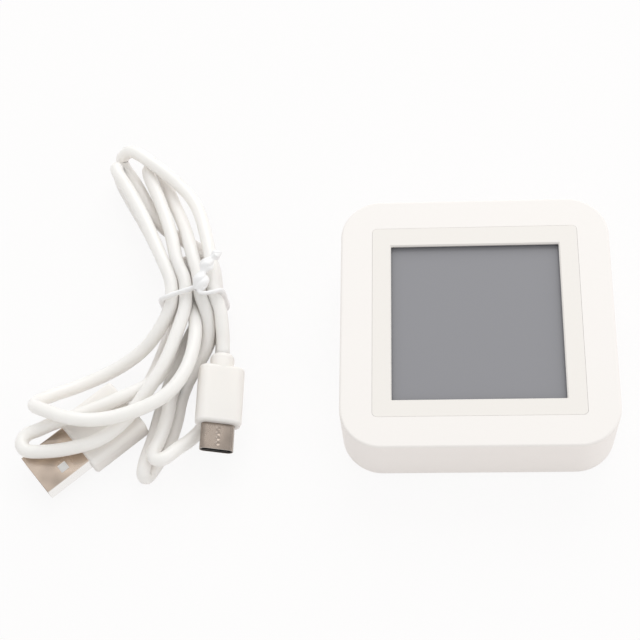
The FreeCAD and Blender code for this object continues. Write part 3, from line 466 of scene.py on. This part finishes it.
FINISHES: dict[str, Union[Finish, BoardFinish, ShellFinish]] = {
    "housing_white": Finish("housing white", (0.955, 0.922, 0.890), 0.42, grain=0.22 * MM,
                            depth=0.006 * MM, tone=0.004),
    "bezel_white": Finish("bezel white", (0.905, 0.872, 0.828), 0.46, grain=0.22 * MM,
                          depth=0.006 * MM, tone=0.004),
    "cover_white": Finish("cover white", (0.90, 0.88, 0.85), 0.55, grain=0.5 * MM,
                          depth=0.03 * MM, tone=0.01),
    "button_white": Finish("button white", (0.86, 0.84, 0.81), 0.38, grain=0.3 * MM,
                           depth=0.005 * MM),
    "foam_dark": Finish("gasket foam", (0.035, 0.035, 0.036), 0.9, Pattern.CELLULAR,
                        grain=0.35 * MM, depth=0.1 * MM),
    "lcd_grey": Finish("display film", (0.268, 0.268, 0.286), 0.48, grain=0.12 * MM,
                       depth=0.002 * MM, tone=0.01),
    "lcd_glass": Finish("display glass", (0.80, 0.86, 0.84), 0.05, transmission=0.9,
                        depth=0.0005 * MM),
    "lcd_rear_film": Finish("rear film", (0.26, 0.27, 0.27), 0.35),
    "light_guide": Finish("light guide", (0.88, 0.90, 0.92), 0.12, transmission=0.8),
    "reflector_white": Finish("reflector film", (0.93, 0.93, 0.93), 0.5),
    "led_white": Finish("lamp body", (0.92, 0.88, 0.70), 0.35),
    "carrier_white": Finish("carrier white", (0.82, 0.82, 0.80), 0.5),
    "tinned_pins": Finish("tinned pins", (0.70, 0.70, 0.70), 0.28, metallic=1.0),
    "board_green": BoardFinish("board green", (0.015, 0.13, 0.05), (0.03, 0.21, 0.08)),
    "module_board": BoardFinish("module board", (0.01, 0.02, 0.06), (0.03, 0.05, 0.12)),
    "shield_steel": Finish("shield steel", (0.68, 0.68, 0.67), 0.32, Pattern.BRUSHED,
                           grain=0.15 * MM, depth=0.004 * MM, metallic=1.0,
                           brushed_along=(12.0, 1.0, 1.0)),
    "chip_black": Finish("chip black", (0.02, 0.02, 0.021), 0.5, grain=0.15 * MM),
    "chip_white": Finish("chip white", (0.80, 0.80, 0.78), 0.4),
    "capacitor_can": Finish("capacitor can", (0.75, 0.75, 0.76), 0.25, metallic=1.0),
    "switch_black": Finish("switch black", (0.022, 0.022, 0.022), 0.42),
    "mesh_dark": Finish("vent filter", (0.05, 0.05, 0.05), 0.8, Pattern.WOVEN,
                        grain=0.5 * MM, depth=0.1 * MM),
    # In both plug steels the first colour is a darker painted reflection on faces that look up,
    # the second a bright painted reflection on steep faces.
    "plug_steel": ShellFinish("plug steel", (0.57, 0.473, 0.393), (0.90, 0.88, 0.86)),
    "small_plug_steel": ShellFinish("small plug steel", (0.290, 0.245, 0.210),
                                    (0.46, 0.41, 0.37)),
    "insert_black": Finish("insert black", (0.012, 0.012, 0.012), 0.5),
    "tongue_white": Finish("tongue white", (0.92, 0.92, 0.91), 0.3),
    "gold_contacts": Finish("gold contacts", (0.90, 0.62, 0.22), 0.22, metallic=1.0),
    "screw_steel": Finish("screw steel", (0.58, 0.58, 0.59), 0.3, metallic=1.0,
                          depth=0.006 * MM),
    "pin_steel": Finish("pin steel", (0.65, 0.65, 0.66), 0.22, Pattern.BRUSHED,
                        grain=0.2 * MM, depth=0.003 * MM, metallic=1.0,
                        brushed_along=(10.0, 1.0, 1.0)),
    "foot_rubber": Finish("foot rubber", (0.22, 0.22, 0.22), 0.85, grain=0.3 * MM,
                          depth=0.03 * MM),
    "cable_white": Finish("cable sheath", (0.940, 0.902, 0.862), 0.34, grain=0.8 * MM,
                          depth=0.012 * MM, tone=0.01, coat=0.1, subsurface=1.0,
                          soak=3.0 * MM),
    "tie_white": Finish("tie plastic", (0.97, 0.97, 0.97), 0.3, grain=0.7 * MM,
                        depth=0.02 * MM),
    "moulding_white": Finish("moulding white", (0.92, 0.89, 0.85), 0.5, grain=0.25 * MM,
                             depth=0.012 * MM, tone=0.008, subsurface=0.6, soak=2.0 * MM),
}

CASE = {
    "front_housing": "housing_white",
    "display_bezel": "bezel_white",
    "rear_cover": "cover_white",
    "dust_mesh": "mesh_dark",
}
DISPLAY = {
    "lcd_gasket": "foam_dark",
    "lcd_front_polariser": "lcd_grey",
    "lcd_front_glass": "lcd_glass",
    "lcd_rear_glass": "lcd_glass",
    "lcd_rear_polariser": "lcd_rear_film",
    "backlight_guide": "light_guide",
    "backlight_reflector": "reflector_white",
    "backlight_leds": "led_white",
    "lcd_carrier": "carrier_white",
    "lcd_pins": "tinned_pins",
}
ELECTRONICS = {
    "main_board": "board_green",
    "wireless_module": "module_board",
    "wireless_shield_can": "shield_steel",
    "lcd_driver_chip": "chip_black",
    "voltage_regulator": "chip_black",
    "board_capacitors": "capacitor_can",
    "pairing_switch": "switch_black",
    "switch_plunger": "switch_black",
    "sensor_board": "board_green",
    "humidity_sensor_chip": "chip_white",
}
SOCKET = {
    "usb_c_socket_shell": "plug_steel",
    "usb_c_socket_tongue": "insert_black",
    "usb_c_socket_contacts": "gold_contacts",
}
REAR_FITTINGS = {
    "stand": "cover_white",
    "stand_hinge_pin": "pin_steel",
    "pairing_button": "button_white",
}
LEAD_FITTINGS = {
    "usb_c_plug_moulding": "moulding_white",
    "usb_c_plug_shell": "small_plug_steel",
    "usb_c_plug_insert": "insert_black",
    "usb_c_plug_contacts": "gold_contacts",
    "usb_a_plug_moulding": "moulding_white",
    "usb_a_plug_shell": "plug_steel",
    "usb_a_plug_tongue": "tongue_white",
    "usb_a_plug_contacts": "gold_contacts",
}


@dataclass
class Wardrobe:
    """Builds each finish once and dresses pieces with it.

    Attributes:
        made: the materials built so far, by slot.
    """

    made: dict[str, bpy.types.Material] = field(default_factory=dict)

    def material(self, slot: str) -> bpy.types.Material:
        """The material of a slot, built on first use.

        Args:
            slot: a name in the table of finishes.

        Returns:
            The material.
        """
        if slot not in self.made:
            self.made[slot] = FINISHES[slot].build()
        return self.made[slot]

    def dress(self, piece: bpy.types.Object, slot: str) -> None:
        """Gives a piece one finish in place of what it had."""
        piece.data.materials.clear()
        piece.data.materials.append(self.material(slot))


@dataclass
class NodeGroup:
    """Solids of the frame that belong together and keep their own shape.

    Attributes:
        title: what the group is called in the log.
        slots: the frame's nodes, each with its finish.
    """

    title: str
    slots: dict[str, str]

    def build(self, wardrobe: Wardrobe) -> None:
        """Dresses every solid of the group.

        Args:
            wardrobe: where the finishes come from.
        """
        for node, slot in self.slots.items():
            wardrobe.dress(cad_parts[node], slot)
        log.info("%s: %d solids dressed", self.title, len(self.slots))


def linked(name: str, data: bpy.types.ID) -> bpy.types.Object:
    """Makes an object at the origin and links it to the scene.

    Args:
        name: the object's name.
        data: its mesh, curve, lamp or camera.

    Returns:
        The new object.
    """
    made = bpy.data.objects.new(name, data)
    bpy.context.scene.collection.objects.link(made)
    return made


def round_curve(name: str, radius: float, fineness: int, steps: int) -> bpy.types.Curve:
    """Makes a curve that gives its lines a round section and closed ends.

    Args:
        name: the curve's name.
        radius: the section's radius.
        fineness: how finely the section is divided.
        steps: how many steps a line has from one place to the next.

    Returns:
        The curve, still without lines.
    """
    curve = bpy.data.curves.new(name, "CURVE")
    curve.dimensions = "3D"
    curve.bevel_depth = radius
    curve.bevel_resolution = fineness
    curve.resolution_u = steps
    curve.use_fill_caps = True
    return curve


def smooth_line(curve: bpy.types.Curve, places: list[Vector]) -> bpy.types.Spline:
    """Adds one open smooth line to a curve.

    Args:
        curve: the curve that takes it.
        places: its control places in metres, the first and last of which it reaches.

    Returns:
        The new line.
    """
    spline = curve.splines.new("NURBS")
    spline.points.add(len(places) - 1)
    for point, place in zip(spline.points, places):
        point.co = (*place, 1.0)
    spline.order_u = 3
    spline.use_endpoint_u = True
    return spline


@dataclass
class Camera:
    """The photograph's viewpoint.

    Attributes:
        place: where it stands.
        right: direction to the right of the picture.
        up: direction up the picture.
        lens: focal length in millimetres.
        sensor: width of the picture behind the lens, in millimetres.
        near: the nearest thing it sees.
    """

    place: Point = (-0.011163, -0.158186, 0.344080)
    right: Point = (0.9971669, 0.0176507, -0.0731206)
    up: Point = (0.0160400, 0.8998263, 0.4359533)
    lens: float = 84.19
    sensor: float = 36.0
    near: float = 0.01

    def build(self) -> None:
        """Makes the camera and puts it in charge of the scene."""
        data = bpy.data.cameras.new("camera")
        data.lens = self.lens
        data.sensor_width = self.sensor
        data.clip_start = self.near
        camera = linked("camera", data)
        right = Vector(self.right).normalized()
        up = Vector(self.up).normalized()
        turn = Matrix((right, up, right.cross(up))).transposed().to_4x4()
        camera.matrix_world = Matrix.Translation(self.place) @ turn
        bpy.context.scene.camera = camera
        log.info("camera placed")


@dataclass(frozen=True)
class Lamp:
    """Square soft lamp that looks at the origin.

    Attributes:
        name: the lamp's name.
        power: its power in watts.
        side: its side.
        place: where it hangs.
    """

    name: str
    power: float
    side: float
    place: Point

    def build(self) -> None:
        """Makes the lamp."""
        data = bpy.data.lights.new(self.name, "AREA")
        data.energy = self.power
        data.size = self.side
        light = linked(self.name, data)
        light.location = self.place
        light.rotation_euler = Vector(self.place).to_track_quat("Z", "Y").to_euler()


@dataclass
class Studio:
    """Pale floor, soft sky and two soft lamps.

    Attributes:
        floor_half: half the floor's side.
        floor_colour: the floor's own colour.
        floor_roughness: how matt the floor is.
        floor_glow: how far the floor is seen as plain white, so that only a faint shadow shows.
        sky: strength of the even light.
        lamps: one beyond the display's top edge, and a weaker one on the near right side.
    """

    floor_half: float = 3.0
    floor_colour: Colour = (0.91, 0.86, 0.84)
    floor_roughness: float = 0.9
    floor_glow: float = 0.88
    sky: float = 0.74
    lamps: tuple[Lamp, ...] = (
        Lamp("key", power=20.0, side=1.9, place=(0.25, 1.75, 1.45)),
        Lamp("fill", power=1.3, side=0.7, place=(1.1, -0.25, 0.55)),
    )

    def floor(self) -> None:
        """Makes the floor."""
        shape = bmesh.new()
        bmesh.ops.create_grid(shape, x_segments=1, y_segments=1, size=self.floor_half)
        mesh = bpy.data.meshes.new("floor")
        shape.to_mesh(mesh)
        shape.free()
        plane = linked("floor", mesh)
        plane.data.materials.append(self.floor_surface())

    def floor_surface(self) -> bpy.types.Material:
        """Pale matt floor that is mostly white to the eye and in reflections.

        Returns:
            The floor's material.
        """
        surface = Surface("floor")
        surface.set(Base_Color=(*self.floor_colour, 1.0), Roughness=self.floor_roughness)
        white = surface.node("ShaderNodeEmission", None, {"Color": PLAIN_WHITE, "Strength": 1.0})
        mixed = surface.node("ShaderNodeMixShader", None,
                             {0: surface.shown() * self.floor_glow,
                              1: surface.shader.outputs[0], 2: white.outputs[0]})
        out = surface.tree.nodes["Material Output"]
        surface.fill(out.inputs["Surface"], mixed.outputs[0])
        return surface.material

    def sky_light(self) -> None:
        """Even light all round, and white behind everything that is seen."""
        world = bpy.data.worlds.new("studio")
        bpy.context.scene.world = world
        world.use_nodes = True
        world.node_tree.nodes.clear()
        tree = NodeTree(world.node_tree)
        light, white = (tree.node("ShaderNodeBackground", None,
                                  {"Color": PLAIN_WHITE, "Strength": strength})
                        for strength in (self.sky, 1.0))
        mixed = tree.node("ShaderNodeMixShader", None,
                          {0: tree.shown(), 1: light.outputs[0], 2: white.outputs[0]})
        tree.node("ShaderNodeOutputWorld", None, {"Surface": mixed.outputs[0]})

    def build(self) -> None:
        """Makes floor, sky and lamps, and sets the view transform."""
        self.floor()
        self.sky_light()
        for lamp in self.lamps:
            lamp.build()
        bpy.context.scene.view_settings.view_transform = "Standard"
        log.info("studio set")


@dataclass
class PowerLead:
    """The tied lead with a plug at each end, as it lies beside the sensor.

    Places are (across, along, height) in millimetres in the tie's own axes, as the hank was laid
    out: across is to the right and along is up the picture.

    Attributes:
        diameter: the sheath's diameter in metres.
        waist: the tie's place on the surface.
        waist_turn: how far the waist is turned to the left, in degrees.
        half: half the straight stretch through the tie.
        pitch: distance between strands in the tie.
        offset: how far the strands' middle lies to the right of the tie's axes.
        levels: heights of the three rows of strands.
        tie_lift: how far the tie's wire lifts the strands.
        lift_reach: how far along the strands that lift is felt.
        plug_c: where the sheath leaves the sensor's plug.
        plug_c_heading: the way it leaves, in degrees left of the way along the waist.
        plug_a: where the sheath enters the supply's plug.
        plug_a_heading: the way from there into the sheath, in the same degrees.
        fineness: how finely the sheath's section is divided.
        steps: steps of the sheath from one place to the next.
    """

    diameter: float = 3.4 * MM
    waist: tuple[float, float] = (-71.7, 13.5)
    waist_turn: float = 6.0
    half: float = 2.6
    pitch: float = 3.5
    offset: float = 0.8
    levels: tuple[float, float, float] = (1.8, 5.75, 9.7)
    tie_lift: float = 1.7
    lift_reach: float = 24.0
    plug_c: Station = (7.0, -18.6, 8.0)
    plug_c_heading: float = -7.0
    plug_a: Station = (-17.4, -28.05, 4.0)
    plug_a_heading: float = -235.5
    fineness: int = 6
    steps: int = 10

    def heading(self, degrees: float) -> Vector:
        """Level direction so many degrees left of the way along the waist."""
        angle = math.radians(degrees + self.waist_turn)
        return Vector((-math.sin(angle), math.cos(angle), 0.0))

    def place(self, across: float, along: float, height: float) -> Vector:
        """A place in metres in the frame, from the tie's axes.

        Args:
            across: how far to the right of the tie's middle.
            along: how far up the picture from it.
            height: how far above the surface.

        Returns:
            The place.
        """
        side = self.heading(-90.0)
        flat = Vector((*self.waist, 0.0)) + side * across + self.heading(0.0) * along
        return Vector((flat.x, flat.y, height)) * MM

    def lifted(self, across: float, along: float, height: float) -> Vector:
        """A place raised near the tie, whose wire passes under the strands."""
        weight = math.cos(math.pi / 2 * min(abs(along) / self.lift_reach, 1.0)) ** 2
        return self.place(across, along, height + self.tie_lift * weight)

    def free(self, *places: Station) -> list[Vector]:
        """Given places along a strand."""
        return [self.lifted(*p) for p in places]

    def column(self, number: int) -> float:
        """How far across the tie a column of strands lies, counted from 1 on the left."""
        return (number - 2.5) * self.pitch + self.offset

    def through(self, column: int, height: float, way: int) -> list[Vector]:
        """Two places where a strand enters and leaves the tie.

        Args:
            column: which strand from the left, from 1 to 4.
            height: the row's height.
            way: 1 for up the picture, -1 for down.

        Returns:
            The two places in order.
        """
        across = self.column(column)
        return self.free((across, -way * self.half, height), (across, way * self.half, height))

    def turn(self, column: int, along: float, height: float) -> list[Vector]:
        """Small round turn just above the tie, from the column on its right to that on its left.

        Args:
            column: the column in the turn's middle.
            along: how far above the tie the arms end.
            height: the row's height.

        Returns:
            The places on the first arm, at the end and on the second arm.
        """
        centre = self.lifted(self.column(column), along, height)
        reach = self.pitch * MM
        side = self.heading(-90.0) * reach
        return [centre + side, centre + self.heading(0.0) * reach, centre - side]

    def route(self) -> list[Vector]:
        """The lead's places from the sensor's plug to the supply's plug.

        Returns:
            The control places in metres, one for each point of the sheath's line.
        """
        low, mid, top = self.levels
        straight = self.diameter
        start, end = self.place(*self.plug_c), self.place(*self.plug_a)
        # Out of the sensor's plug and up through the tie.
        line = [start, start + self.heading(self.plug_c_heading) * straight]
        line += self.free((7.5, -11.2, 8.8), (7.5, -7.0, 9.3))
        line += self.through(4, top, 1)
        # Outer loop above the tie: over to its tip on the left, and back beneath the others.
        line += self.free((5.4, 12.5, 9.8), (2.9, 26.0, 7.4), (-2.3, 33.8, 7.0),
                          (-8.2, 39.3, 8.6), (-12.4, 43.5, 8.4), (-14.7, 45.0, 7.5),
                          (-17.6, 45.0, 3.9), (-16.7, 42.4, 2.9), (-14.7, 39.0, 2.9),
                          (-12.3, 33.6, 3.0), (-9.4, 26.4, 2.8), (-6.2, 21.8, 2.1),
                          (-1.0, 18.0, low), (3.7, 13.9, low), (5.9, 9.0, low))
        line += self.through(4, low, -1)
        # Shorter loop below the tie, whose right arm passes by the sensor's plug.
        line += self.free((4.4, -10.0, 1.9), (0.6, -17.0, low), (-3.6, -21.5, 2.0),
                          (-6.8, -25.5, 4.8), (-7.6, -32.0, 5.6), (-10.2, -39.2, 6.4),
                          (-11.6, -42.0, 7.4), (-11.0, -44.5, 8.3), (-8.6, -44.5, 8.4),
                          (-5.8, -41.7, 7.0), (-1.8, -38.4, 4.4), (4.3, -30.4, 2.2),
                          (5.4, -22.0, low), (6.4, -14.0, 1.9), (7.4, -8.0, 4.6))
        line += self.through(4, mid, 1)
        line += self.turn(3, 7.6, mid)
        line += self.through(2, mid, -1)
        # Upper of the two wide loops on the left: out on top, and back beneath.
        line += self.free((0.6, -6.2, 7.4), (1.0, -11.0, 9.4), (0.3, -17.7, 11.5),
                          (-1.9, -24.3, 13.0), (-6.2, -30.2, 14.0), (-13.2, -33.6, 14.4),
                          (-23.0, -35.2, 14.2), (-31.0, -33.8, 14.5), (-36.3, -30.6, 13.3),
                          (-41.1, -27.0, 9.7), (-37.3, -23.6, 6.0), (-30.4, -20.7, 3.3),
                          (-21.5, -17.4, 2.6), (-13.8, -14.4, 5.0), (-9.0, -11.0, 7.9),
                          (-5.4, -6.2, 9.4))
        line += self.through(1, top, 1)
        # Left loop above the tie, folded back beneath itself.
        line += self.free((-6.6, 8.8, 9.6), (-10.6, 21.6, 9.0), (-14.5, 31.4, 8.0),
                          (-17.7, 37.4, 8.6), (-18.3, 40.3, 7.9), (-18.4, 40.9, 2.6),
                          (-17.7, 37.6, 1.9), (-14.9, 31.2, 2.0), (-10.8, 21.6, 3.6),
                          (-7.4, 12.0, 5.6))
        line += self.through(1, mid, -1)
        # Lower of the two wide loops, across the supply's plug and back.
        line += self.free((-4.6, -11.0, 5.9), (-6.9, -18.2, 6.6), (-9.9, -23.4, 7.5),
                          (-16.6, -27.2, 9.9), (-24.8, -30.1, 9.9), (-32.3, -32.1, 10.2),
                          (-36.2, -32.5, 9.1), (-39.6, -33.2, 7.8), (-42.6, -33.9, 7.9),
                          (-43.8, -36.3, 8.3), (-42.6, -38.7, 8.7), (-39.4, -39.3, 8.8),
                          (-33.5, -39.8, 9.4), (-24.4, -38.9, 10.2), (-18.4, -35.0, 10.2),
                          (-14.4, -30.4, 10.4), (-10.6, -25.7, 11.0), (-7.6, -21.4, 11.2),
                          (-5.2, -16.6, 11.1), (-3.1, -11.1, 10.6), (-1.4, -6.2, 9.9))
        line += self.through(2, top, 1)
        # Inner loop above the tie, on its right arm back to the top row.
        line += self.free((-2.9, 7.2, 9.6), (-4.1, 17.0, 8.9), (-7.2, 29.3, 7.0),
                          (-9.9, 37.4, 5.6), (-10.2, 40.4, 5.0), (-7.2, 40.9, 2.8),
                          (-6.2, 38.0, 2.6), (-3.9, 29.4, 3.9), (-0.6, 19.1, 7.5),
                          (1.0, 10.0, 9.6))
        line += self.through(3, top, -1)
        # Longest loop below the tie, down on the surface.
        line += self.free((4.0, -6.8, 9.0), (4.1, -10.8, 7.6), (2.7, -15.3, 6.0),
                          (0.4, -19.0, 5.2), (-2.6, -22.8, 3.9), (-4.9, -26.7, 1.9),
                          (-6.1, -32.5, 1.9), (-8.6, -39.2, 1.9), (-12.7, -44.8, 1.9),
                          (-14.2, -46.9, 2.4), (-14.7, -46.4, 5.0), (-13.6, -42.6, 5.3),
                          (-12.0, -37.1, 3.0), (-9.9, -28.9, 1.9), (-6.6, -19.8, low),
                          (-2.0, -10.8, low))
        line += self.through(3, low, 1)
        line += self.turn(2, 9.0, low)
        line += self.through(1, low, -1)
        # Into the supply's plug.
        line += self.free((-7.0, -9.8, 1.9), (-10.8, -18.8, 2.5))
        line += [end - self.heading(self.plug_a_heading) * straight, end]
        return line

    def sheath(self, route: list[Vector]) -> bpy.types.Object:
        """Makes the lead as one smooth round line.

        Args:
            route: its control places.

        Returns:
            The curve's object.
        """
        curve = round_curve("lead_sheath", self.diameter / 2, self.fineness, self.steps)
        smooth_line(curve, route)
        return linked("lead_sheath", curve)

    def build(self, wardrobe: Wardrobe) -> None:
        """Makes the sheath and the tie, and dresses the plugs.

        Args:
            wardrobe: where the finishes come from.
        """
        route = self.route()
        piece = self.sheath(route)
        wardrobe.dress(piece, "cable_white")
        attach(piece, "power_lead")
        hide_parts("power_cable")
        plugs = [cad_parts[name] for name in LEAD_FITTINGS]
        plugs.append(TwistTie().build(self, wardrobe))
        tuple(self.place(*self.plug_c))
        NodeGroup("power lead fittings", LEAD_FITTINGS).build(wardrobe)
        log.info("power lead laid, %d places", len(route))


@dataclass
class TwistTie:
    """Film tie round the lead's strands, its two ends twisted together.

    Places are in millimetres in the tie's own axes, as the lead's are.

    Attributes:
        half_width: half the film's width, less its rounded edge, in metres.
        thickness: the film's thickness in metres.
        ring_scale: size of the film round the strands, where it is drawn tight.
        turn: how far the film turns from one place of its ends to the next, in radians.
        fineness: how finely the film's section is divided.
        steps: steps of the film from one place to the next.
        ring: places round the strands.
        ends: places along the twisted ends, each with the film's size there.
    """

    half_width: float = 0.35 * MM
    thickness: float = 1.0 * MM
    ring_scale: float = 0.95
    turn: float = math.pi / 4
    fineness: int = 3
    steps: int = 8
    ring: tuple[Station, ...] = (
        (3.3, -1.8, 14.6), (0.6, -2.2, 14.2), (-3.2, -3.0, 14.2), (-6.2, -3.8, 14.0),
        (-7.3, -3.0, 11.5), (-7.2, -2.6, 7.0), (-7.1, -2.6, 2.0), (-5.6, -2.6, 1.0),
        (0.0, -2.6, 1.0), (7.0, -2.6, 1.0), (8.5, -2.7, 2.4), (8.4, -2.8, 8.0),
        (8.4, -2.9, 13.4), (6.6, -3.8, 14.4), (4.2, -4.2, 14.6), (2.2, -3.6, 15.0),
        (3.3, -1.8, 15.2))
    ends: tuple[FilmStation, ...] = (
        (2.3, -3.3, 14.9, 1.0), (3.2, -1.8, 15.1, 2.6), (3.7, -0.1, 15.3, 2.6),
        (4.1, 1.4, 15.6, 0.7), (5.0, 2.9, 15.7, 2.5), (6.1, 4.2, 15.8, 1.6),
        (6.8, 5.0, 15.9, 0.8), (7.8, 5.7, 15.9, 2.0), (9.1, 6.2, 16.2, 0.4))

    def strand(self, curve: bpy.types.Curve, places: list[Vector], sizes: list[float],
               start: float, turn: float) -> None:
        """Adds one length of film.

        Args:
            curve: the curve that takes it.
            places: its places in metres.
            sizes: the film's size at each place.
            start: its turn about its own line at the first place, in radians.
            turn: how much further it turns from place to place.
        """
        spline = smooth_line(curve, places)
        for number, (point, size) in enumerate(zip(spline.points, sizes)):
            point.radius = size
            point.tilt = start + number * turn

    def build(self, lead: PowerLead, wardrobe: Wardrobe) -> bpy.types.Object:
        """Makes the tie.

        Args:
            lead: the lead it holds.
            wardrobe: where its finish comes from.

        Returns:
            The tie's object.
        """
        curve = round_curve("tie_film", self.thickness / 2, self.fineness, self.steps)
        curve.extrude = self.half_width
        around = [lead.place(*station) for station in self.ring]
        self.strand(curve, around, [self.ring_scale] * len(around), 0.0, 0.0)
        tail = [lead.place(*station[:3]) for station in self.ends]
        sizes = [station[3] for station in self.ends]
        for start in (0.0, math.pi / 2):
            self.strand(curve, tail, sizes, start, self.turn)
        piece = linked("tie_film", curve)
        wardrobe.dress(piece, "tie_white")
        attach(piece, "power_lead")
        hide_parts("twist_tie")
        log.info("twist tie made")
        return piece


def numbered(stem: str, slot: str, count: int = 4) -> dict[str, str]:
    """Node names with a number from 1, all with one finish."""
    return {f"{stem}_{number}": slot for number in range(1, count + 1)}


def main() -> None:
    """Builds camera, lead, studio and every group of the sensor in order."""
    logging.basicConfig(level=logging.INFO, format="%(message)s")
    wardrobe = Wardrobe()
    Camera().build()
    PowerLead().build(wardrobe)
    Studio().build()
    groups = [
        NodeGroup("case", CASE),
        NodeGroup("display", DISPLAY),
        NodeGroup("electronics", ELECTRONICS),
        NodeGroup("power socket", SOCKET),
        NodeGroup("rear fittings", REAR_FITTINGS),
        NodeGroup("cover screws", numbered("rear_cover_screw", "screw_steel")),
        NodeGroup("board screws", numbered("board_screw", "screw_steel")),
        NodeGroup("feet", numbered("foot", "foot_rubber")),
    ]
    for group in groups:
        group.build(wardrobe)


if __name__ == "__main__":
    main()
